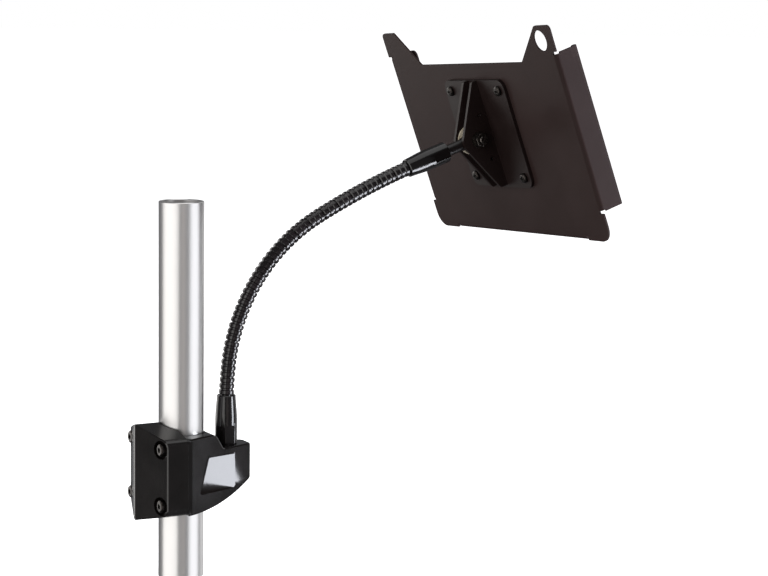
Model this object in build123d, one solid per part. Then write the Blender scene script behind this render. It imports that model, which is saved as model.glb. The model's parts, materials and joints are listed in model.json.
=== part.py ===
from build123d import *
import os
from math import cos, hypot, radians, sin, tan

os.makedirs("parts", exist_ok=True)

# Pole device stand: a clamp on a round pole carries a gooseneck, and the gooseneck carries a tilting tray.
# Millimetres. Z runs up the pole from the centre of its lower end. X points from the pole to the tray.

# Pole
pole_d = 35.0
pole_wall = 2.0
pole_h = 293.0
pole_edge = 0.5

# Clamp as a whole, its heights measured from its own middle
clamp_z = 85.0
liner_t = 1.5
liner_h = 52.0
liner_fit = 0.08
bracket_fit = 0.06
split_x = -9.3
split_gap = 1.0

# Rear bracket
rear_half_w = 36.0
rear_half_h = 37.6
rear_side_half_h = 28.7
ridge_x = -39.4
ridge_r = 6.0
facet_angle = 18.9
rear_edge = 0.7

# Clamp screws
screw_y = 28.6
screw_z = 21.8
screw_d = 5.0
screw_len = 25.0
screw_hole_fit = 0.3
screw_head_d = 9.8
screw_head_h = 3.8
screw_socket_af = 4.0
screw_seat_r = 7.2
screw_seat_x = -27.2
screw_end_room = 0.4

# Front bracket
flange_t = 3.4
flange_half_w = 33.7
flange_top = 29.0
flange_bottom = -30.4
flange_corner = 4.5
arm_root_half_w = 32.2
arm_nose_half_w = 8.0
arm_nose_x = 56.8
arm_nose_r = 5.0
arm_top = 28.6
arm_bottom = -31.1
arm_shoulder_x = 19.5
arm_seat_start_x = 27.5
arm_belly_x = 29.5
arm_belly_z = -25.1
arm_nose_bottom = -11.1
arm_shoulder_r = 8.0
arm_seat_r = 3.0
arm_edge = 1.6
seat_x = 38.55
seat_z = 16.1
pocket_heel_half_w = 22.6
pocket_fade_x = 39.8
pocket_r = 2.5
pocket_back_x = 11.0
pocket_front_x = 40.8
pocket_heel_x = 2.7
pocket_top = 13.5
pocket_bottom = -16.6

# Ferrules, alike at both ends of the gooseneck
ferrule_len = 38.4
ferrule_r = 8.65
ferrule_mouth_r = 7.45
ferrule_straight = 18.0
ferrule_flat_len = 15.0
ferrule_flats = 15.6
ferrule_edge = 0.6
thread_d = 6.0
thread_len = 12.0
thread_room = 0.5

# Gooseneck
link_count = 18
link_len = 14.184
ribs_per_link = 3
crown_r = 6.035
valley_r = 5.2
hose_bore_r = 3.0
rib_crown = 2.2
rib_flank = 0.75
link_gap = 0.75
collar_r = 4.4
collar_bore_r = 3.3
collar_reach = 1.6
collar_room = 0.35

# Bends of the gooseneck at rest, in degrees from one link to the next
lead_bend = 3.582
shoulder_bend = 2.152
bow_bend = 5.506
tail_bend = 1.31
bow_first = 2
bow_last = 11

# Stem and its eye
stem_d = 9.5
stem_reach = 67.0
stem_room = 0.3
stem_thread_fit = 0.05
eye_r = 8.5
eye_t = 8.0
eye_neck = 13.0
stem_twist = -2.75

# Tilt bolt and its washers
bolt_d = 6.0
bolt_fit = 0.06
bolt_ear_fit = 0.2
bolt_head_af = 10.0
bolt_head_h = 4.0
bolt_proud = 1.8
nut_h = 5.0
washer_r = 6.4
washer_t = 1.2
friction_washer_r = 12.0
friction_washer_t = 0.9
friction_room = 0.1

# Clevis bracket, in the head's frame: x to one side, y up the tray, z from the tray's back towards the arm
plate_size = 93.0
plate_t = 3.0
plate_corner = 8.0
ear_t = 3.0
pivot_z = 17.0
ear_tip_z = 31.0
ear_tip_up = 4.0
ear_tip_down = -2.5
ear_tip_r = 5.0
ear_top_z = 7.5
ear_bottom_inset = 2.0
ear_bottom_z = 9.7
ear_hole_d = 3.5
ear_hole_y = 19.0
ear_hole_z = 10.0
vesa = 75.0
plate_screw_d = 4.0
plate_hole_fit = 0.25
plate_head_d = 8.5
plate_head_h = 2.7
plate_nut_af = 7.0
plate_nut_h = 3.2
plate_screw_proud = 0.6
cross_w = 1.1
cross_len = 4.6
cross_depth = 1.4

# Tray
tray_half_w = 131.3
tab_overhang = 1.7
tray_bottom = -89.5
tray_sheet = 1.5
tray_depth = 22.0
tray_bend = 1.5
tray_lip = 10.0
recess_y = 60.0
recess_half_w = 80.0
tab_slope_x = 112.0
tab_top = 89.2
tab_corner = 4.0
flange_y_top = 66.5
flange_y_bottom = -64.6
flange_top_r = 8.0
bottom_flange_half_w = 100.2
lower_corner = 12.0
relief_w = 2.4
relief_len = 3.2
camera_x = 115.7
camera_y = 77.0
camera_d = 17.0
pad_w = 18.0
pad_h = 50.0
pad_t = 5.0
pad_corner = 3.0
pad_inset = 16.0
pad_gap = 8.0


def save(name, shape):
    shape.label = name
    export_step(shape, "parts/" + name + ".step")


def group(solids):
    return Compound(children=solids)


def rod(radius, start, end):
    span = Vector(*end) - Vector(*start)
    return extrude(Plane(origin=start, z_dir=span) * Circle(radius), amount=span.length)


def slab(x0, x1, y0, y1, z0, z1):
    middle = ((x0 + x1) / 2, (y0 + y1) / 2, (z0 + z1) / 2)
    return Pos(*middle) * Box(x1 - x0, y1 - y0, z1 - z0)


def rounded(corners, radii):
    # A flat outline whose corners take the given radii, 0 for a sharp one
    face = make_face(Polyline(*corners, close=True))
    for corner, radius in zip(corners, radii):
        if radius > 0:
            near = face.vertices().sort_by_distance((corner[0], corner[1], 0))[0]
            face = fillet(near, radius)
    return face


# Sizes that follow from the ones above
pole_r = pole_d / 2
liner_inner_r = pole_r + liner_fit
liner_outer_r = liner_inner_r + liner_t
clamp_bore_r = liner_outer_r + bracket_fit
rear_front_x = split_x - split_gap / 2
front_back_x = split_x + split_gap / 2
flange_front_x = front_back_x + flange_t
screw_r = screw_d / 2
screw_tip_x = screw_seat_x + screw_len
thread_r = thread_d / 2
clamp_frame = Location((0, 0, clamp_z))
overrun = 5.0

# The path of the gooseneck, in the vertical plane through the seat
mouth_z = clamp_z + seat_z + ferrule_len


def rest_bend(joint):
    if joint == 0:
        return lead_bend
    if joint < bow_first or joint == bow_last + 1:
        return shoulder_bend
    if joint <= bow_last:
        return bow_bend
    return tail_bend


lean = [0.0]
knots = [Vector(seat_x, 0, mouth_z)]
for joint in range(link_count):
    lean.append(lean[-1] + rest_bend(joint))
    step = Vector(sin(radians(lean[-1])), 0, cos(radians(lean[-1]))) * link_len
    knots.append(knots[-1] + step)
lean.append(lean[-1] + tail_bend)


def along(angle):
    return Vector(sin(radians(angle)), 0, cos(radians(angle)))


def across(angle):
    return Vector(cos(radians(angle)), 0, -sin(radians(angle)))


stem_axis = along(lean[-1])
pivot = knots[-1] + stem_axis * stem_reach


def pole_tube():
    tube = rod(pole_r, (0, 0, 0), (0, 0, pole_h))
    tube -= rod(pole_r - pole_wall, (0, 0, 0), (0, 0, pole_h))
    return chamfer(tube.edges().group_by(Axis.Z)[-1], pole_edge)


def liner_pad(front):
    # One part of a split sleeve that fills the space between pole and bracket
    half_h = liner_h / 2
    sleeve = rod(liner_outer_r, (0, 0, -half_h), (0, 0, half_h))
    sleeve -= rod(liner_inner_r, (0, 0, -half_h), (0, 0, half_h))
    reach = liner_outer_r + overrun
    if front:
        keep = slab(front_back_x, reach, -reach, reach, -half_h, half_h)
    else:
        keep = slab(-reach, rear_front_x, -reach, reach, -half_h, half_h)
    return clamp_frame * (sleeve & keep)


def screw_places():
    return [(side * screw_y, level * screw_z) for side in (1, -1) for level in (1, -1)]


def rear_bracket():
    # V-backed block: its plan and its elevation cut each other
    side_x = ridge_x + rear_half_w * tan(radians(facet_angle))
    plan = rounded(
        [
            (rear_front_x, -rear_half_w),
            (rear_front_x, rear_half_w),
            (side_x, rear_half_w),
            (ridge_x, 0),
            (side_x, -rear_half_w),
        ],
        [0, 0, 0, ridge_r, 0],
    )
    elevation = rounded(
        [
            (0, rear_half_h),
            (rear_half_w, rear_side_half_h),
            (rear_half_w, -rear_side_half_h),
            (0, -rear_half_h),
            (-rear_half_w, -rear_side_half_h),
            (-rear_half_w, rear_side_half_h),
        ],
        [ridge_r, screw_seat_r, screw_seat_r, ridge_r, screw_seat_r, screw_seat_r],
    )
    block = extrude(plan, amount=rear_half_h, both=True)
    block &= extrude(Plane.YZ * elevation, amount=ridge_x - overrun)
    back = block.faces().filter_by(lambda face: face.normal_at().X < -0.5)
    rim = back.edges().filter_by(lambda edge: hypot(edge.center().Y, edge.center().Z) > 2 * ridge_r)
    block = chamfer(rim, rear_edge)
    block -= rod(clamp_bore_r, (0, 0, -rear_half_h), (0, 0, rear_half_h))
    for y, z in screw_places():
        block -= rod(screw_seat_r, (screw_seat_x, y, z), (ridge_x - overrun, y, z))
        block -= rod(screw_r + screw_hole_fit, (screw_seat_x - 1, y, z), (0, y, z))
    return clamp_frame * block


def arm_half_width(x):
    share = (x - flange_front_x) / (arm_nose_x - flange_front_x)
    return arm_root_half_w + (arm_nose_half_w - arm_root_half_w) * share


def floor_half_width(x):
    # Half the web left between the two side pockets, which fade out into the arm's sides
    share = (x - pocket_heel_x) / (pocket_fade_x - pocket_heel_x)
    return pocket_heel_half_w + (arm_half_width(pocket_fade_x) - pocket_heel_half_w) * share


def taper(half_width, x0, x1, nose_r):
    # Seen from above, a block that narrows from x0 to x1
    corners = [(x0, -half_width(x0)), (x1, -half_width(x1)), (x1, half_width(x1)), (x0, half_width(x0))]
    return extrude(rounded(corners, [0, nose_r, nose_r, 0]), amount=rear_half_h, both=True)


def front_bracket():
    back_x = flange_front_x - flange_t / 2
    plan = taper(arm_half_width, back_x, arm_nose_x, arm_nose_r)
    side = Polyline(
        (back_x, arm_bottom),
        (back_x, arm_top),
        (arm_shoulder_x, arm_top),
        (arm_seat_start_x, seat_z),
        (arm_nose_x, seat_z),
        (arm_nose_x, arm_nose_bottom),
    )
    belly = ThreePointArc((arm_nose_x, arm_nose_bottom), (arm_belly_x, arm_belly_z), (back_x, arm_bottom))
    profile = make_face(side + belly)
    for corner, radius in (
        ((arm_shoulder_x, arm_top), arm_shoulder_r),
        ((arm_seat_start_x, seat_z), arm_seat_r),
    ):
        near = profile.vertices().sort_by_distance((corner[0], corner[1], 0))[0]
        profile = fillet(near, radius)
    arm = plan & extrude(Plane.XZ * profile, amount=rear_half_w, both=True)
    walls = arm.faces().filter_by(lambda face: abs(face.normal_at().Z) < 0.1 and face.normal_at().X > -0.5)
    rim = walls.edges().filter_by(lambda edge: abs(edge.tangent_at(0.5).Z) < 0.9 and edge.center().X > back_x + 1)
    arm = fillet(rim, arm_edge)
    pocket = rounded(
        [
            (pocket_back_x, pocket_top),
            (pocket_front_x, pocket_top - pocket_r),
            (pocket_front_x - pocket_r / 2, pocket_bottom),
            (pocket_heel_x, pocket_bottom),
        ],
        [pocket_r, pocket_r, pocket_r, pocket_r],
    )
    hollow = extrude(Plane.XZ * pocket, amount=rear_half_w + overrun, both=True)
    arm -= hollow - taper(floor_half_width, flange_front_x, arm_nose_x, 0)
    middle = (flange_top + flange_bottom) / 2
    plate = RectangleRounded(2 * flange_half_w, flange_top - flange_bottom, flange_corner)
    arm += extrude(Plane.YZ.offset(front_back_x) * (Pos(0, middle) * plate), amount=flange_t)
    arm -= rod(clamp_bore_r, (0, 0, -rear_half_h), (0, 0, rear_half_h))
    arm -= slab(front_back_x - 1, 0, -clamp_bore_r, clamp_bore_r, -rear_half_h, rear_half_h)
    for y, z in screw_places():
        arm -= rod(screw_r, (front_back_x - 1, y, z), (screw_tip_x + screw_end_room, y, z))
    arm -= rod(thread_r, (seat_x, 0, seat_z), (seat_x, 0, seat_z - thread_len - thread_room))
    return clamp_frame * arm


def hexagon(across_flats):
    return RegularPolygon(across_flats / 2, 6, major_radius=False)


def clamp_screws():
    made = []
    for y, z in screw_places():
        head = rod(screw_head_d / 2, (screw_seat_x, y, z), (screw_seat_x - screw_head_h, y, z))
        rim = head.edges().filter_by(GeomType.CIRCLE).group_by(Axis.X)[0]
        head = fillet(rim, screw_head_h / 3)
        socket = Plane(origin=(screw_seat_x - screw_head_h, y, z), z_dir=(1, 0, 0)) * hexagon(screw_socket_af)
        head -= extrude(socket, amount=screw_head_h * 0.6)
        shank = rod(screw_r, (screw_seat_x, y, z), (screw_tip_x, y, z))
        made.append(clamp_frame * (head + shank))
    return group(made)


def ferrule(origin, direction, flat_side, bore_r):
    # Turned sleeve: straight at its wide end, easing down to the mouth where the hose enters
    outline = Polyline(
        (0, 0),
        (ferrule_r - ferrule_edge, 0),
        (ferrule_r, ferrule_edge),
        (ferrule_r, ferrule_straight),
    )
    ease = Spline(
        (ferrule_r, ferrule_straight),
        (ferrule_mouth_r, ferrule_len - ferrule_edge),
        tangents=((0, 1), (-0.03, 1)),
    )
    top = Polyline(
        (ferrule_mouth_r, ferrule_len - ferrule_edge),
        (ferrule_mouth_r - ferrule_edge, ferrule_len),
        (0, ferrule_len),
        (0, 0),
    )
    body = revolve(Plane.XZ * make_face(outline + ease + top), Axis.Z)
    for side in (1, -1):
        near = side * ferrule_flats / 2
        far = side * (ferrule_r + 1)
        body -= slab(-ferrule_r, ferrule_r, min(near, far), max(near, far), -1, ferrule_flat_len)
    body -= rod(bore_r, (0, 0, -1), (0, 0, thread_len + thread_room))
    frame = Plane(origin=origin, x_dir=flat_side.cross(direction), z_dir=direction)
    return frame.location * body


def rib_outline():
    # Half the section of one link: ribs with sloping flanks on a hose wall
    pitch = link_len / ribs_per_link
    points = [(hose_bore_r, -1), (valley_r, -1)]
    for rib in range(ribs_per_link):
        middle = (rib + 0.5) * pitch
        points.append((valley_r, middle - rib_crown / 2 - rib_flank))
        points.append((crown_r, middle - rib_crown / 2))
        points.append((crown_r, middle + rib_crown / 2))
        points.append((valley_r, middle + rib_crown / 2 + rib_flank))
    points += [(valley_r, link_len + 1), (hose_bore_r, link_len + 1)]
    return make_face(Polyline(*points, close=True))


def knot_axis(joint):
    # The direction that halves the bend between the pieces on both sides of a knot
    if joint == 0:
        return along(0)
    if joint == link_count:
        return along(lean[-1])
    return along((lean[joint] + lean[joint + 1]) / 2)


def neck_link(index):
    # Ends are mitred square to each knot's axis, half a gap away. A collar at the upper end
    # stands in a wider mouth of the next link, so that the wall stays closed through a bend.
    angle = lean[index + 1]
    start = knots[index]
    end = knots[index + 1]
    direction = along(angle)
    body = revolve(Plane.XZ * rib_outline(), Axis.Z)
    body = Plane(origin=start, x_dir=across(angle), z_dir=direction).location * body
    lower = knot_axis(index)
    upper = knot_axis(index + 1)
    end_gap = link_gap / 2 if index < link_count - 1 else 0
    start_gap = link_gap / 2 if index > 0 else link_gap
    body = split(body, bisect_by=Plane(origin=start + lower * start_gap, z_dir=lower), keep=Keep.TOP)
    body = split(body, bisect_by=Plane(origin=end - upper * end_gap, z_dir=upper), keep=Keep.BOTTOM)
    body -= rod(collar_r + collar_room, start, start + lower * (collar_reach + 2 * collar_room))
    if index < link_count - 1:
        root = end - upper * (end_gap + collar_reach)
        tip = end + upper * collar_reach
        body += rod(collar_r, root, tip) - rod(collar_bore_r, root, tip)
    return body


# Frames of the stem and of the head
side_level = Vector(0, -1, 0)
stem_side = side_level.rotate(Axis((0, 0, 0), tuple(stem_axis)), stem_twist)
head_normal = stem_axis * -1
stem_frame = Plane(origin=pivot, x_dir=stem_side, z_dir=head_normal)
head_frame = Plane(origin=pivot - head_normal * pivot_z, x_dir=stem_side, z_dir=head_normal)


def swivel_stem():
    # In the stem's frame z points back down the arm and the eye's hole is at the origin
    ferrule_end = stem_reach - ferrule_len
    shoulder = ferrule_end - stem_room
    shank = rod(stem_d / 2, (0, 0, eye_neck), (0, 0, shoulder))
    shank += rod(thread_r - stem_thread_fit, (0, 0, shoulder), (0, 0, ferrule_end + thread_len))
    cone = Polyline((0, 0), (eye_r * 0.86, 0), (eye_r * 0.86, eye_r / 2), (stem_d / 2, eye_neck), (0, eye_neck))
    neck = revolve(Plane.XZ * make_face(cone + Line((0, eye_neck), (0, 0))), Axis.Z)
    neck &= slab(-eye_t / 2, eye_t / 2, -eye_r, eye_r, 0, eye_neck)
    eye = rod(eye_r, (-eye_t / 2, 0, 0), (eye_t / 2, 0, 0))
    hole = rod(bolt_d / 2 + bolt_fit, (-eye_t, 0, 0), (eye_t, 0, 0))
    return stem_frame.location * (shank + neck + eye - hole)


def ear(side):
    inner = side * (eye_t / 2 + friction_room + friction_washer_t)
    outer = inner + side * ear_t
    ear_top_y = plate_size / 2
    ear_bottom_y = ear_bottom_inset - plate_size / 2
    tip = rounded(
        [
            (ear_top_y, plate_t / 2),
            (ear_top_y, ear_top_z),
            (ear_tip_up, ear_tip_z),
            (ear_tip_down, ear_tip_z),
            (ear_bottom_y, ear_bottom_z),
            (ear_bottom_y, plate_t / 2),
        ],
        [0, 2.0, ear_tip_r, ear_tip_r, 2.0, 0],
    )
    sheet = extrude(Plane.YZ.offset(inner) * tip, amount=outer - inner)
    sheet -= rod(bolt_d / 2 + bolt_ear_fit, (-2 * outer, 0, pivot_z), (2 * outer, 0, pivot_z))
    for level in (1, -1):
        y = level * ear_hole_y
        sheet -= rod(ear_hole_d / 2, (-2 * outer, y, ear_hole_z), (2 * outer, y, ear_hole_z))
    return sheet


def vesa_places():
    return [(side * vesa / 2, level * vesa / 2) for side in (1, -1) for level in (1, -1)]


def clevis_bracket():
    plate = extrude(RectangleRounded(plate_size, plate_size, plate_corner), amount=plate_t)
    for x, y in vesa_places():
        plate -= rod(plate_screw_d / 2 + plate_hole_fit, (x, y, -1), (x, y, plate_t + 1))
    return head_frame.location * (plate + ear(1) + ear(-1))


def ring(outer_r, inner_r, x0, x1):
    return rod(outer_r, (x0, 0, pivot_z), (x1, 0, pivot_z)) - rod(inner_r, (x0, 0, pivot_z), (x1, 0, pivot_z))


ear_inner = eye_t / 2 + friction_room + friction_washer_t
ear_outer = ear_inner + ear_t
bolt_seat = ear_outer + washer_t
bolt_hole_r = bolt_d / 2 + bolt_ear_fit


def friction_washers():
    made = []
    for side in (1, -1):
        x0 = side * (ear_inner - friction_washer_t)
        made.append(head_frame.location * ring(friction_washer_r, bolt_hole_r, x0, side * ear_inner))
    return group(made)


def tilt_washers():
    made = [head_frame.location * ring(washer_r, bolt_hole_r, s * ear_outer, s * bolt_seat) for s in (1, -1)]
    return group(made)


def hex_block(across_flats, x0, x1):
    base = Plane(origin=(x0, 0, pivot_z), x_dir=(0, 1, 0), z_dir=(x1 - x0, 0, 0))
    return extrude(base * hexagon(across_flats), amount=abs(x1 - x0))


def tilt_bolt():
    head = hex_block(bolt_head_af, -bolt_seat, -bolt_seat - bolt_head_h)
    tip = bolt_seat + nut_h + bolt_proud
    shank = rod(bolt_d / 2, (-bolt_seat, 0, pivot_z), (tip, 0, pivot_z))
    shank = chamfer(shank.edges().group_by(Axis.X)[-1], 0.5)
    return head_frame.location * (head + shank)


def tilt_nut():
    nut = hex_block(bolt_head_af, bolt_seat, bolt_seat + nut_h)
    nut -= rod(bolt_d / 2, (bolt_seat - 1, 0, pivot_z), (bolt_seat + nut_h + 1, 0, pivot_z))
    return head_frame.location * nut


def vesa_screws():
    made = []
    for x, y in vesa_places():
        head = rod(plate_head_d / 2, (x, y, plate_t), (x, y, plate_t + plate_head_h))
        head = fillet(head.edges().group_by(Axis.Z)[-1], plate_head_h * 0.7)
        top = plate_t + plate_head_h
        cut = slab(x - cross_len / 2, x + cross_len / 2, y - cross_w / 2, y + cross_w / 2, top - cross_depth, top)
        cut += slab(x - cross_w / 2, x + cross_w / 2, y - cross_len / 2, y + cross_len / 2, top - cross_depth, top)
        tip = -tray_sheet - plate_nut_h - plate_screw_proud
        shank = rod(plate_screw_d / 2, (x, y, tip), (x, y, plate_t))
        made.append(head_frame.location * (head - cut + shank))
    return group(made)


def vesa_nuts():
    made = []
    for x, y in vesa_places():
        nut = extrude(Pos(x, y, -tray_sheet) * hexagon(plate_nut_af), amount=-plate_nut_h)
        nut -= rod(plate_screw_d / 2, (x, y, -tray_sheet - plate_nut_h - 1), (x, y, 0))
        made.append(head_frame.location * nut)
    return group(made)


def channel(half_w, bend):
    # Closed section of the folded sheet, seen along the fold, before its front is opened
    outer_r = bend + tray_sheet
    outer = Pos(0, -tray_depth / 2) * RectangleRounded(2 * half_w, tray_depth, outer_r)
    inner = Pos(0, -tray_depth / 2) * RectangleRounded(2 * (half_w - tray_sheet), tray_depth - 2 * tray_sheet, bend)
    return outer - inner


def tablet_tray():
    # Folded sheet: the flat back first, then the folded edges, then holes and bend reliefs
    sheet_half_w = tray_half_w + tab_overhang
    half = [
        (recess_half_w, recess_y),
        (tab_slope_x, tab_top),
        (sheet_half_w, tab_top),
        (sheet_half_w, tray_bottom),
    ]
    mirror_half = [(-x, y) for x, y in reversed(half)]
    radii = [tab_corner / 2, tab_corner, tab_corner, lower_corner]
    back = rounded(half + mirror_half, radii + list(reversed(radii)))
    sheet = extrude(back, amount=-tray_sheet)
    side_strip = slab(
        tray_half_w - tray_bend - tray_sheet, sheet_half_w + 1,
        flange_y_bottom, flange_y_top, -tray_depth, 1,
    )
    bottom_strip = slab(
        -bottom_flange_half_w, bottom_flange_half_w,
        tray_bottom - 1, tray_bottom + tray_bend + tray_sheet, -tray_depth, 1,
    )
    sheet -= side_strip
    sheet -= mirror(side_strip, Plane.YZ)
    sheet -= bottom_strip
    side_len = flange_y_top - flange_y_bottom
    side_plane = Plane(origin=(0, flange_y_bottom, 0), x_dir=(-1, 0, 0), z_dir=(0, 1, 0))
    sides = extrude(side_plane * channel(tray_half_w, tray_bend), amount=side_len)
    reach = tray_half_w - tray_lip
    keep = tray_half_w - tray_bend - tray_sheet
    sides -= slab(-reach, reach, flange_y_bottom, flange_y_top, -tray_depth, -tray_sheet)
    sides -= slab(-keep, keep, flange_y_bottom, flange_y_top, -tray_sheet, 0)
    corner_y = flange_y_top - flange_top_r
    corner_z = flange_top_r - tray_depth
    corner = slab(-tray_half_w, tray_half_w, corner_y, flange_y_top, -tray_depth, corner_z)
    corner -= rod(flange_top_r, (-tray_half_w, corner_y, corner_z), (tray_half_w, corner_y, corner_z))
    sides -= corner
    bottom_section = channel(-tray_bottom, tray_bend)
    bottom_plane = Plane(origin=(-bottom_flange_half_w, 0, 0), x_dir=(0, 1, 0), z_dir=(1, 0, 0))
    bottom = extrude(bottom_plane * bottom_section, amount=2 * bottom_flange_half_w)
    lip_top = tray_bottom + tray_lip
    fold_top = tray_bottom + tray_bend + tray_sheet
    bottom &= slab(-bottom_flange_half_w, bottom_flange_half_w, tray_bottom, lip_top, -tray_depth, 0)
    bottom -= slab(-bottom_flange_half_w, bottom_flange_half_w, fold_top, lip_top, -tray_sheet - 1, 0)
    sheet += sides
    sheet += bottom
    for side in (1, -1):
        near = side * (tray_half_w - relief_len)
        far = side * (sheet_half_w + 1)
        for y in (flange_y_top, flange_y_bottom):
            low, high = y - relief_w / 2, y + relief_w / 2
            sheet -= slab(min(near, far), max(near, far), low, high, -3 * tray_sheet, 1)
        x = side * bottom_flange_half_w
        sheet -= Pos(x, tray_bottom + relief_len / 2, -tray_sheet) * Box(relief_w, relief_len + 0.01, 4 * tray_sheet)
    sheet -= rod(camera_d / 2, (camera_x, camera_y, -2 * tray_sheet), (camera_x, camera_y, 1))
    for x, y in vesa_places():
        sheet -= rod(plate_screw_d / 2 + plate_hole_fit, (x, y, -2 * tray_sheet), (x, y, 1))
    return head_frame.location * sheet


def tray_pads():
    made = []
    for side in (1, -1):
        for level in (1, -1):
            x = side * (tray_half_w - tray_sheet - pad_inset - pad_w / 2)
            y = (flange_y_top + flange_y_bottom) / 2 + level * (pad_h + pad_gap) / 2
            block = extrude(RectangleRounded(pad_w, pad_h, pad_corner), amount=-pad_t)
            made.append(head_frame.location * (Pos(x, y, -tray_sheet) * block))
    return group(made)


upper_origin = knots[-1] + stem_axis * ferrule_len
lower_origin = Vector(seat_x, 0, clamp_z + seat_z)

save("pole_tube", pole_tube())
save("liner_pad_rear", liner_pad(False))
save("liner_pad_front", liner_pad(True))
save("clamp_bracket_rear", rear_bracket())
save("clamp_bracket_front", front_bracket())
save("clamp_screws", clamp_screws())
stud_low = tuple(lower_origin - Vector(0, 0, thread_len))
stud_high = tuple(lower_origin + Vector(0, 0, thread_len))
save("neck_stud", rod(thread_r, stud_low, stud_high))
root_ferrule = ferrule(lower_origin, Vector(0, 0, 1), Vector(0, 1, 0), thread_r)
root_ferrule += rod(collar_r, knots[0] - along(0), knots[0] + along(0) * collar_reach)
save("ferrule_lower", root_ferrule)
for index in range(link_count):
    save("neck_link_%02d" % (index + 1), neck_link(index))
save("ferrule_upper", ferrule(upper_origin, stem_axis * -1, Vector(0, 1, 0), thread_r))
save("swivel_stem", swivel_stem())
save("friction_washers", friction_washers())
save("clevis_bracket", clevis_bracket())
save("tilt_bolt", tilt_bolt())
save("tilt_nut", tilt_nut())
save("tilt_washers", tilt_washers())
save("vesa_screws", vesa_screws())
save("vesa_nuts", vesa_nuts())
save("tablet_tray", tablet_tray())
save("tray_pads", tray_pads())
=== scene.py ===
import json
import math

import bmesh
import bpy
from mathutils import Matrix, Vector


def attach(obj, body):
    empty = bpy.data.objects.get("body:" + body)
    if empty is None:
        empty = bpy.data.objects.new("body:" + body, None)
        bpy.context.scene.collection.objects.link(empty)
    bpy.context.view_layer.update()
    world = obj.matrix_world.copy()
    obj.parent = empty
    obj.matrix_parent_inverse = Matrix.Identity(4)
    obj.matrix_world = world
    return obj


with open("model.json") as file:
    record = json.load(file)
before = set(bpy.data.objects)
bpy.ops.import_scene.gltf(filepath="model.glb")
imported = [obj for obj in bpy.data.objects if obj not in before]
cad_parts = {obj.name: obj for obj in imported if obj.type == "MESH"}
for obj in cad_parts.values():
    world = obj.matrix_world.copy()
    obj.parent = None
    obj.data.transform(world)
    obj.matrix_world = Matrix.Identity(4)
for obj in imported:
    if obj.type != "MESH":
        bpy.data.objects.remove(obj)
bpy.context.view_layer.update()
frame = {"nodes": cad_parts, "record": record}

# Pole device stand: satin tube, black cast clamp, ribbed gooseneck, folded sheet tray.
# Metres, Z up the pole.

nodes = frame["nodes"]
scene = bpy.context.scene
mm = 0.001


def colour(hex_code):
    # sRGB hex to the linear values that shaders take
    def linear(part):
        return part / 12.92 if part <= 0.04045 else ((part + 0.055) / 1.055) ** 2.4

    parts = [int(hex_code[i:i + 2], 16) / 255 for i in (1, 3, 5)]
    return tuple(linear(part) for part in parts) + (1.0,)


def features_of(size_mm):
    # The pattern scale whose features are this many millimetres apart
    return 1.0 / (size_mm * mm)


def add(tree, kind, sockets=None, **settings):
    # One node with its settings; a socket takes a plain value or the output that feeds it
    node = tree.nodes.new(kind)
    for name, value in settings.items():
        setattr(node, name, value)
    for name, value in (sockets or {}).items():
        if isinstance(value, bpy.types.NodeSocket):
            tree.links.new(value, node.inputs[name])
        else:
            node.inputs[name].default_value = value
    return node


def begin(name, base, metallic, roughness, **more):
    # A surface with its constants on the shader itself
    made = bpy.data.materials.new(name)
    made.use_nodes = True
    tree = made.node_tree
    tree.nodes.clear()
    shader = add(tree, "ShaderNodeBsdfPrincipled")
    shader.inputs["Base Color"].default_value = colour(base)
    shader.inputs["Metallic"].default_value = metallic
    shader.inputs["Roughness"].default_value = roughness
    for socket, value in more.items():
        shader.inputs[socket.replace("_", " ")].default_value = value
    add(tree, "ShaderNodeOutputMaterial", {"Surface": shader.outputs["BSDF"]})
    where = add(tree, "ShaderNodeTexCoord").outputs["Object"]
    return made, tree, shader, where


def relief(tree, shader, height, strength, depth_mm):
    # Lets a pattern raise the surface by up to this depth
    bump = add(tree, "ShaderNodeBump", {
        "Height": height, "Strength": strength, "Distance": depth_mm * mm,
    })
    tree.links.new(bump.outputs["Normal"], shader.inputs["Normal"])


def spread(tree, shader, socket, source, low, high, from_low=0.0, from_high=1.0):
    # Lets a pattern move one socket between two values
    ranged = add(tree, "ShaderNodeMapRange", {
        "Value": source, "From Min": from_low, "From Max": from_high, "To Min": low, "To Max": high,
    })
    tree.links.new(ranged.outputs["Result"], shader.inputs[socket])


def two_tones(tree, shader, source, dark, light, low=0.35, high=0.65):
    # Lets a pattern move the colour between two tones
    ramp = add(tree, "ShaderNodeValToRGB", {"Fac": source})
    ramp.color_ramp.elements[0].position = low
    ramp.color_ramp.elements[0].color = colour(dark)
    ramp.color_ramp.elements[1].position = high
    ramp.color_ramp.elements[1].color = colour(light)
    tree.links.new(ramp.outputs["Color"], shader.inputs["Base Color"])


# Camera


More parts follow.
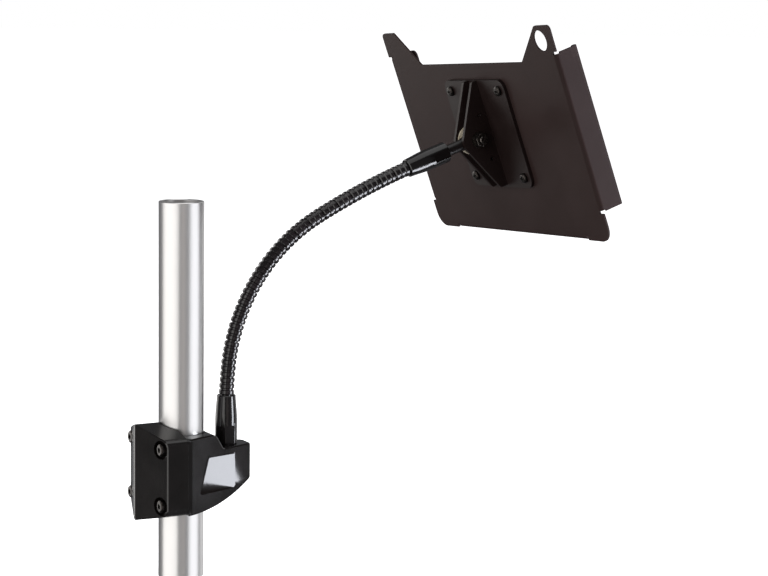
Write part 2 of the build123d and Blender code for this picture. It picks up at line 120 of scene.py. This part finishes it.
def photo_camera():
    # Long lens looking a little down, rolled by under a degree, found from the photograph:
    # focal length and centre in its pixels, place in metres, roll in radians.
    stands_at = (-0.67273, -1.50294, 0.44777)
    lens_px = 2150.57
    frame_w = 768
    frame_h = 576
    centre_y = 258.0
    heading = math.radians(29.536)
    pitch = math.radians(6.8432)
    roll = 0.01316
    data = bpy.data.cameras.new("photo_camera")
    data.sensor_width = 36.0
    data.lens = lens_px / frame_w * data.sensor_width
    data.shift_y = (centre_y - frame_h / 2) / frame_w
    data.clip_start = 0.05
    data.clip_end = 200.0
    camera = bpy.data.objects.new("photo_camera", data)
    scene.collection.objects.link(camera)
    level = Vector((math.sin(heading), math.cos(heading), 0))
    forward = level * math.cos(pitch) - Vector((0, 0, 1)) * math.sin(pitch)
    right = Vector((math.cos(heading), -math.sin(heading), 0))
    up = right.cross(forward)
    turned_right = right * math.cos(roll) + up * math.sin(roll)
    turned_up = up * math.cos(roll) - right * math.sin(roll)
    axes = Matrix((turned_right, turned_up, -forward)).transposed()
    camera.matrix_world = Matrix.Translation(stands_at) @ axes.to_4x4()
    scene.camera = camera


photo_camera()


# Surfaces


def ground_stainless():
    # Stainless tube, ground along its length: fine streaks soften every reflection sideways.
    # The streaks are drawn coarser than the real grinding lines, to show.
    made, tree, shader, where = begin("ground_stainless", "#E0DFDE", metallic=1.0, roughness=0.34)
    stretched = add(tree, "ShaderNodeMapping", {"Vector": where, "Scale": (1.0, 1.0, 0.02)})
    streaks = add(tree, "ShaderNodeTexNoise", {
        "Vector": stretched.outputs["Vector"], "Scale": features_of(0.9),
        "Detail": 6.0, "Roughness": 0.65,
    })
    spread(
        tree, shader, "Roughness", streaks.outputs["Fac"],
        low=0.32, high=0.37, from_low=0.3, from_high=0.7)
    relief(tree, shader, streaks.outputs["Fac"], strength=0.02, depth_mm=0.002)
    return made


def moulded_rubber():
    # EPDM pad, moulded: dull, with a fine matt grain, drawn coarser than the real one
    made, tree, shader, where = begin(
        "moulded_rubber", "#191817", metallic=0.0, roughness=0.85, Specular_IOR_Level=0.3)
    grain_and_hollow_shade = add(tree, "ShaderNodeTexNoise", {
        "Vector": where, "Scale": features_of(0.8), "Detail": 3.0,
    })
    relief(tree, shader, grain_and_hollow_shade.outputs["Fac"], strength=0.3, depth_mm=0.1)
    # The grain's hollows are painted darker than its crests: painted shade in the hollows
    two_tones(tree, shader, grain_and_hollow_shade.outputs["Fac"], "#141312", "#201F1E")
    return made


def satin_enamel(name, dark, light, rough, peel_mm, peel_depth_mm, shine):
    # Baked coat over metal: dark, smooth, with the slow waviness of orange peel
    made, tree, shader, where = begin(
        name, light, metallic=0.0, roughness=rough[0], Specular_IOR_Level=shine)
    peel = add(tree, "ShaderNodeTexNoise", {
        "Vector": where, "Scale": features_of(peel_mm), "Detail": 2.0,
    })
    cloud = add(tree, "ShaderNodeTexNoise", {
        "Vector": where, "Scale": features_of(22.0), "Detail": 3.0,
    })
    relief(tree, shader, peel.outputs["Fac"], strength=0.35, depth_mm=peel_depth_mm)
    spread(
        tree, shader, "Roughness", cloud.outputs["Fac"],
        low=rough[0], high=rough[1], from_low=0.35, from_high=0.65)
    two_tones(tree, shader, cloud.outputs["Fac"], dark, light)
    return made


def cast_clamp_enamel():
    # Die-cast aluminium under satin black enamel
    return satin_enamel(
        "cast_clamp_enamel", "#0A0807", "#0E0B0A", rough=(0.14, 0.17),
        peel_mm=2.5, peel_depth_mm=0.004, shine=0.45)


def ferrule_enamel():
    # Turned steel under gloss black enamel
    return satin_enamel(
        "ferrule_enamel", "#0B0909", "#100D0D", rough=(0.12, 0.17),
        peel_mm=3.0, peel_depth_mm=0.004, shine=0.45)


def hose_enamel():
    # Rolled steel hose under gloss black enamel
    return satin_enamel(
        "hose_enamel", "#0F0B0C", "#150F11", rough=(0.16, 0.22),
        peel_mm=1.5, peel_depth_mm=0.006, shine=0.5)


def bracket_enamel():
    # Welded plate under satin black powder coat
    return satin_enamel(
        "bracket_enamel", "#1A1211", "#1E1615", rough=(0.38, 0.46),
        peel_mm=1.6, peel_depth_mm=0.02, shine=0.12)


def stem_enamel():
    # Turned and flattened steel under satin black enamel
    return satin_enamel(
        "stem_enamel", "#120E0E", "#171212", rough=(0.26, 0.34),
        peel_mm=1.6, peel_depth_mm=0.01, shine=0.4)


def bolt_oil_black():
    # Plain steel bolt, nuts and washers, blued and oiled: brighter than the screws, worn in patches
    made, tree, shader, where = begin("bolt_oil_black", "#57524F", metallic=1.0, roughness=0.28)
    wear = add(tree, "ShaderNodeTexNoise", {
        "Vector": where, "Scale": features_of(1.6), "Detail": 5.0,
    })
    spread(
        tree, shader, "Roughness", wear.outputs["Fac"],
        low=0.22, high=0.36, from_low=0.35, from_high=0.65)
    two_tones(tree, shader, wear.outputs["Fac"], "#4A4643", "#67625E")
    return made


def tray_powder_coat():
    # Sheet steel under a brown-black powder coat: fine even speckle.
    # Its grit is drawn coarser than the real one, to show.
    made, tree, shader, where = begin(
        "tray_powder_coat", "#2B2120", metallic=0.0, roughness=0.42, Specular_IOR_Level=0.05)
    grit = add(tree, "ShaderNodeTexNoise", {
        "Vector": where, "Scale": features_of(0.9), "Detail": 4.0,
    })
    cloud = add(tree, "ShaderNodeTexNoise", {
        "Vector": where, "Scale": features_of(60.0), "Detail": 3.0,
    })
    relief(tree, shader, grit.outputs["Fac"], strength=0.4, depth_mm=0.05)
    spread(
        tree, shader, "Roughness", cloud.outputs["Fac"],
        low=0.4, high=0.46, from_low=0.35, from_high=0.65)
    two_tones(tree, shader, cloud.outputs["Fac"], "#271D1C", "#2D2322")
    return made


def blackened_steel():
    # Alloy steel screws, blackened in hot oxide: dark metal with faint brown blotches
    made, tree, shader, where = begin("blackened_steel", "#2E2B29", metallic=1.0, roughness=0.3)
    blotch = add(tree, "ShaderNodeTexNoise", {
        "Vector": where, "Scale": features_of(2.2), "Detail": 4.0,
    })
    spread(
        tree, shader, "Roughness", blotch.outputs["Fac"],
        low=0.24, high=0.36, from_low=0.35, from_high=0.65)
    two_tones(tree, shader, blotch.outputs["Fac"], "#272422", "#3A3634")
    return made


def zinc_plate():
    # Steel stud, bright zinc plated: pale metal with a faint crystal mottle
    made, tree, shader, where = begin("zinc_plate", "#B4B7BA", metallic=1.0, roughness=0.3)
    mottle = add(tree, "ShaderNodeTexVoronoi", {"Vector": where, "Scale": features_of(1.4)})
    spread(tree, shader, "Roughness", mottle.outputs["Distance"], low=0.24, high=0.38)
    relief(tree, shader, mottle.outputs["Distance"], strength=0.08, depth_mm=0.02)
    return made


def moulded_nylon():
    # Natural nylon washer, moulded: ivory, slightly hazy
    made, tree, shader, where = begin(
        "moulded_nylon", "#D9CDB6", metallic=0.0, roughness=0.42, IOR=1.53)
    haze = add(tree, "ShaderNodeTexNoise", {
        "Vector": where, "Scale": features_of(3.0), "Detail": 2.0,
    })
    two_tones(tree, shader, haze.outputs["Fac"], "#D2C5AC", "#DED4C0")
    return made


def closed_cell_foam():
    # EVA foam pad, cut from sheet: dull black with fine open pores, drawn coarser to show
    made, tree, shader, where = begin(
        "closed_cell_foam", "#1B1B1C", metallic=0.0, roughness=0.92, Specular_IOR_Level=0.25)
    pores_and_pit_shade = add(tree, "ShaderNodeTexVoronoi", {"Vector": where, "Scale": features_of(0.8)})
    relief(tree, shader, pores_and_pit_shade.outputs["Distance"], strength=0.5, depth_mm=0.12)
    # The pores' pits are painted darker than the rims around them: painted shade in the pits
    two_tones(
        tree, shader, pores_and_pit_shade.outputs["Distance"], "#131314", "#232324", low=0.1, high=0.6)
    return made


surface_of = {
    "pole_metal": ground_stainless(),
    "liner_rubber": moulded_rubber(),
    "clamp_paint": cast_clamp_enamel(),
    "screw_steel": blackened_steel(),
    "stud_steel": zinc_plate(),
    "ferrule_paint": ferrule_enamel(),
    "neck_paint": hose_enamel(),
    "stem_steel": stem_enamel(),
    "washer_plastic": moulded_nylon(),
    "bracket_paint": bracket_enamel(),
    "bolt_steel": bolt_oil_black(),
    "tray_paint": tray_powder_coat(),
    "pad_foam": closed_cell_foam(),
}


# Carried pieces: smooth faces, crisp or softly broken edges, and their surfaces


def split_at_edges(piece):
    # Keeps the shading crisp at real edges
    crease = math.radians(32)
    piece.modifiers.new("crisp_edges", "EDGE_SPLIT").split_angle = crease


def keep_flats_even(piece):
    # Large faces decide the shading, so a flat one has no gradient
    piece.modifiers.new("flat_faces", "WEIGHTED_NORMAL").weight = 100


def dress(name, edge_mm):
    # Joins the face borders and breaks sharp edges by a small width
    border_gap_mm = 0.002
    sharp_edge = math.radians(35)
    piece = nodes[name]
    piece.data.polygons.foreach_set("use_smooth", [True] * len(piece.data.polygons))
    weld = piece.modifiers.new("join_borders", "WELD")
    weld.merge_threshold = border_gap_mm * mm
    if edge_mm:
        bevel = piece.modifiers.new("broken_edges", "BEVEL")
        bevel.width = edge_mm * mm
        bevel.segments = 3
        bevel.limit_method = "ANGLE"
        bevel.angle_limit = sharp_edge
        bevel.harden_normals = False
    split_at_edges(piece)
    keep_flats_even(piece)


slot_of = {row["node"]: row["material_slot"] for row in frame["record"]["subparts"]}
broken_edge_mm = {
    "clamp_bracket_rear": 0.7,
    "clamp_bracket_front": 0.6,
    "clevis_bracket": 0.3,
    "tablet_tray": 0.2,
    "tilt_bolt": 0.4,
    "tilt_nut": 0.4,
    "clamp_screws": 0.2,
    "vesa_screws": 0.2,
}
for name, piece in nodes.items():
    dress(name, broken_edge_mm.get(name, 0.0))
    piece.data.materials.clear()
    piece.data.materials.append(surface_of[slot_of[name]])


# Pieces beyond the carried ones


def form_piece(name, body, slot_name, faces_of, matrix):
    # A piece of this scene's own: it moves with a body and has that slot's surface
    mesh = bpy.data.meshes.new(name)
    form = bmesh.new()
    faces_of(form)
    bmesh.ops.recalc_face_normals(form, faces=form.faces[:])
    form.to_mesh(mesh)
    form.free()
    mesh.materials.append(surface_of[slot_name])
    made = bpy.data.objects.new(name, mesh)
    scene.collection.objects.link(made)
    made.matrix_world = matrix
    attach(made, body)
    return made


def loft(form, sections):
    # Closed rings of equal count joined in turn, both ends capped
    rings = [[form.verts.new(point) for point in section] for section in sections]
    for ring, following in zip(rings, rings[1:]):
        for place in range(len(ring)):
            after = (place + 1) % len(ring)
            form.faces.new((ring[place], ring[after], following[after], following[place]))
    form.faces.new(rings[0])
    form.faces.new(list(reversed(rings[-1])))


def head_place():
    # The tray's own frame: x to its side, y up the sheet, z from the sheet's back towards the arm
    lean = math.radians(70.806)
    twist = math.radians(-2.75)
    pivot = Vector((0.2622127, 0, 0.3344903))
    pivot_height_mm = 17.0
    axis = Vector((math.sin(lean), 0, math.cos(lean)))
    side = Matrix.Rotation(twist, 3, axis) @ Vector((0, -1, 0))
    normal = -axis
    up = normal.cross(side)
    origin = pivot - normal * pivot_height_mm * mm
    return Matrix.Translation(origin) @ Matrix((side, up, normal)).transposed().to_4x4()


def lip_corner(side):
    # Square upper end of a side flange, with the inner corner of its return lip rounded, in mm
    tray_edge = 131.3
    flange_depth = 22.0
    fold_outer_r = 3.0
    sheet = 1.5
    cover = 0.02
    wall_start = 14.0
    lip_end = 121.3
    low, high = 58.4, 66.5
    corner = 5.0
    arc_steps = 6
    fold_x = tray_edge - fold_outer_r
    fold_z = flange_depth - fold_outer_r

    def section(y):
        past = max(0.0, y - (high - corner))
        inner_end = lip_end + corner - math.sqrt(corner ** 2 - past ** 2)
        outer = [(tray_edge + cover, wall_start)]
        inner = [(tray_edge - sheet - cover, wall_start)]
        for step in range(arc_steps + 1):
            turn = math.radians(90 * step / arc_steps)
            for line, radius in (
                (outer, fold_outer_r + cover),
                (inner, fold_outer_r - sheet - cover),
            ):
                line.append((fold_x + radius * math.cos(turn), fold_z + radius * math.sin(turn)))
        outer.append((inner_end, flange_depth + cover))
        inner.append((inner_end, flange_depth - sheet - cover))
        ring = outer + list(reversed(inner))
        return [(side * x * mm, y * mm, -z * mm) for x, z in ring]

    heights = [low]
    for step in range(arc_steps + 1):
        turn = math.radians(90 * step / arc_steps)
        heights.append(high - corner + corner * math.sin(turn))
    made = form_piece(
        "lip_corner_" + ("right" if side > 0 else "left"), "head", "tray_paint",
        lambda form: loft(form, [section(y) for y in heights]), head_place())
    made.data.shade_smooth()
    split_at_edges(made)
    keep_flats_even(made)


clamp_middle = 85  # mm up the pole


def arm_half_width(x):
    # Half the arm's width in mm, from its root to its nose
    root_x, root, nose, length = -5.4, 32.2, 8.0, 62.2
    return root - (x - root_x) * (root - nose) / length


def pocket_floor(x):
    # From the clamp's middle plane to the side pocket's floor in mm.
    # The pocket is deep at its heel and fades out forwards.
    heel_x, heel, rise, length = 2.7, 22.6, 7.99, 37.1
    return heel - (x - heel_x) * rise / length


def on_clamp(side, points):
    # Points in mm, with heights from the clamp's middle, put on the near or the far side
    return [(x * mm, side * y * mm, (clamp_middle + z) * mm) for x, y, z in points]


def clamp_piece(name, side, sections):
    return form_piece(
        name + ("_far" if side > 0 else "_near"), "clamp", "clamp_paint",
        lambda form: loft(form, sections), Matrix.Identity(4))


def arm_side_skin(side, level):
    # Closes the cast side where a clamp screw's thread ends just under it
    screw_height = 21.8
    half_tall = 2.6
    sunk, proud = 0.4, 0.03
    low, high = level * screw_height - half_tall, level * screw_height + half_tall
    sections = []
    for x in (-5.3, -0.6):
        inner, outer = arm_half_width(x) - sunk, arm_half_width(x) + proud
        ring = [(x, inner, low), (x, outer, low), (x, outer, high), (x, inner, high)]
        sections.append(on_clamp(side, ring))
    form_piece(
        "arm_side_skin_%s_%s" % ("far" if side > 0 else "near", "top" if level > 0 else "low"),
        "clamp", "clamp_paint", lambda form: loft(form, sections), Matrix.Identity(4))


def pocket_draft(side):
    # Sloping walls along the heel and the top of the arm's side pocket
    under_rim, under_floor = 0.03, 0.05
    # Each pair is a point on the rim and the point where the wall meets the floor, as x and height
    path = (
        ((2.75, -16.5), (7.6, -16.5)),
        ((10.4, 11.2), (14.6, 9.0)),
        ((11.0, 12.6), (15.2, 9.8)),
        ((12.8, 13.3), (16.2, 10.0)),
        ((38.6, 11.2), (38.6, 10.2)),
    )
    sections = []
    for (rim_x, rim_z), (foot_x, foot_z) in path:
        sections.append(on_clamp(side, [
            (rim_x, arm_half_width(rim_x) - under_rim, rim_z),
            (foot_x, pocket_floor(foot_x) - under_floor, foot_z),
            (rim_x, pocket_floor(rim_x) - under_floor, rim_z),
        ]))
    clamp_piece("pocket_draft", side, sections).data.shade_flat()


def pocket_sweep(side):
    # The pocket's floor curls outwards along its lower wall
    wall_z = -16.5
    longest_run, run_per_depth = 13.0, 2.2
    under_rim, under_floor, root = 0.1, 0.02, 0.4
    steps = 8
    sections = []
    for x in (3.0, 8.0, 13.0, 18.0, 23.0, 28.0, 33.0, 38.2):
        floor = pocket_floor(x)
        depth = arm_half_width(x) - floor - under_rim
        run = min(longest_run, run_per_depth * depth)
        ring = []
        for step in range(steps + 1):
            share = step / steps
            ring.append((x, floor - under_floor + depth * share ** 2, wall_z + run * (1 - share)))
        ring += [(x, floor - root, wall_z), (x, floor - root, wall_z + run)]
        sections.append(on_clamp(side, ring))
    made = clamp_piece("pocket_sweep", side, sections)
    made.data.shade_smooth()
    split_at_edges(made)


for side in (1, -1):
    lip_corner(side)
for side in (1, -1):
    for level in (1, -1):
        arm_side_skin(side, level)
for side in (1, -1):
    pocket_draft(side)
    pocket_sweep(side)


# Stage: pale floor, pale surround, soft studio light


def plain(name, hex_code, glow):
    made = bpy.data.materials.new(name)
    made.use_nodes = True
    shader = made.node_tree.nodes["Principled BSDF"]
    shader.inputs["Base Color"].default_value = colour(hex_code)
    shader.inputs["Roughness"].default_value = 1.0
    shader.inputs["Specular IOR Level"].default_value = 0.0
    shader.inputs["Emission Color"].default_value = (1, 1, 1, 1)
    shader.inputs["Emission Strength"].default_value = glow
    return made


def backdrop(name, build, surface):
    # Seen by the camera alone, so that it neither shades the stand nor shows in its reflections
    mesh = bpy.data.meshes.new(name)
    form = bmesh.new()
    build(form)
    form.to_mesh(mesh)
    form.free()
    mesh.materials.append(surface)
    made = bpy.data.objects.new(name, mesh)
    scene.collection.objects.link(made)
    made.visible_glossy = False
    made.visible_diffuse = False
    made.visible_shadow = False
    return made


def pale_floor(reach):
    def build(form):
        bmesh.ops.create_circle(form, cap_ends=True, segments=96, radius=reach)
    backdrop("floor", build, plain("pale_floor", "#F4F4F4", 1.0))


def pale_surround(reach):
    def build(form):
        bmesh.ops.create_uvsphere(form, u_segments=48, v_segments=24, radius=reach)
    surround = backdrop("surround", build, plain("pale_surround", "#000000", 1.0))
    surround.visible_transmission = False


def softbox(name, turned, height, away, width, tall, glow, tint, pole):
    # A flat soft light with an even glow, turned by degrees to the right from about where the
    # camera stands. The pole can be lit by it, be flagged off from it, or be all that it lights.
    camera_side = 28.8211
    heading = math.radians(camera_side - turned)
    centre = Vector((0.12, 0, 0.2))
    reach = Vector((-math.sin(heading) * away, -math.cos(heading) * away, height))
    middle = centre + reach
    data = bpy.data.lights.new(name, "AREA")
    data.shape = "RECTANGLE"
    data.size = width
    data.size_y = tall
    data.energy = glow * width * tall * math.pi
    data.color = colour(tint)[:3]
    made = bpy.data.objects.new(name, data)
    scene.collection.objects.link(made)
    made.location = middle
    made.visible_camera = False
    made.rotation_euler = (centre - middle).to_track_quat("-Z", "Y").to_euler()
    if pole != "lit":
        flagged = bpy.data.collections.new(name + "_pole")
        flagged.objects.link(nodes["pole_tube"])
        made.light_linking.receiver_collection = flagged
        for row in flagged.collection_objects:
            row.light_linking.link_state = "INCLUDE" if pole == "only" else "EXCLUDE"


def studio():
    # The bare metal pole has a softer pair of lights than the black coats need
    room_tint = (0.95, 0.96, 1.0, 1)
    room_glow = 0.17
    world = bpy.data.worlds.new("dim_room")
    world.use_nodes = True
    world.node_tree.nodes["Background"].inputs["Color"].default_value = room_tint
    world.node_tree.nodes["Background"].inputs["Strength"].default_value = room_glow
    scene.world = world
    pale_floor(30.0)
    pale_surround(28.0)
    # Name, degrees to the right, height, distance, width, tall, glow, tint, pole
    for light in (
        ("key_strip", 76.5, -0.2, 2.0, 0.62, 3.6, 17.0, "#F4F7FF", "flagged"),
        ("pole_right", 74, -0.2, 2.0, 2.2, 3.6, 1.3, "#FAFBFF", "only"),
        ("pole_left", -55, 0.0, 2.2, 3.9, 3.4, 1.3, "#FFFDFA", "only"),
        ("left_wall", -48, 0.0, 2.2, 2.95, 3.4, 2.2, "#FFFDFA", "flagged"),
        ("left_back", -125, 0.4, 2.2, 2.05, 2.4, 2.1, "#FFFDFA", "flagged"),
        ("right_back", 140, 0.2, 2.2, 1.6, 2.6, 0.7, "#FFFFFF", "lit"),
        ("front_fill", 14, 0.1, 2.6, 0.9, 2.6, 0.4, "#FFF4EC", "lit"),
        ("top_box", 60, 1.9, 0.3, 1.6, 1.6, 1.2, "#FFFFFF", "lit"),
    ):
        softbox(*light)


studio()
scene.view_settings.view_transform = "Standard"
scene.view_settings.look = "None"
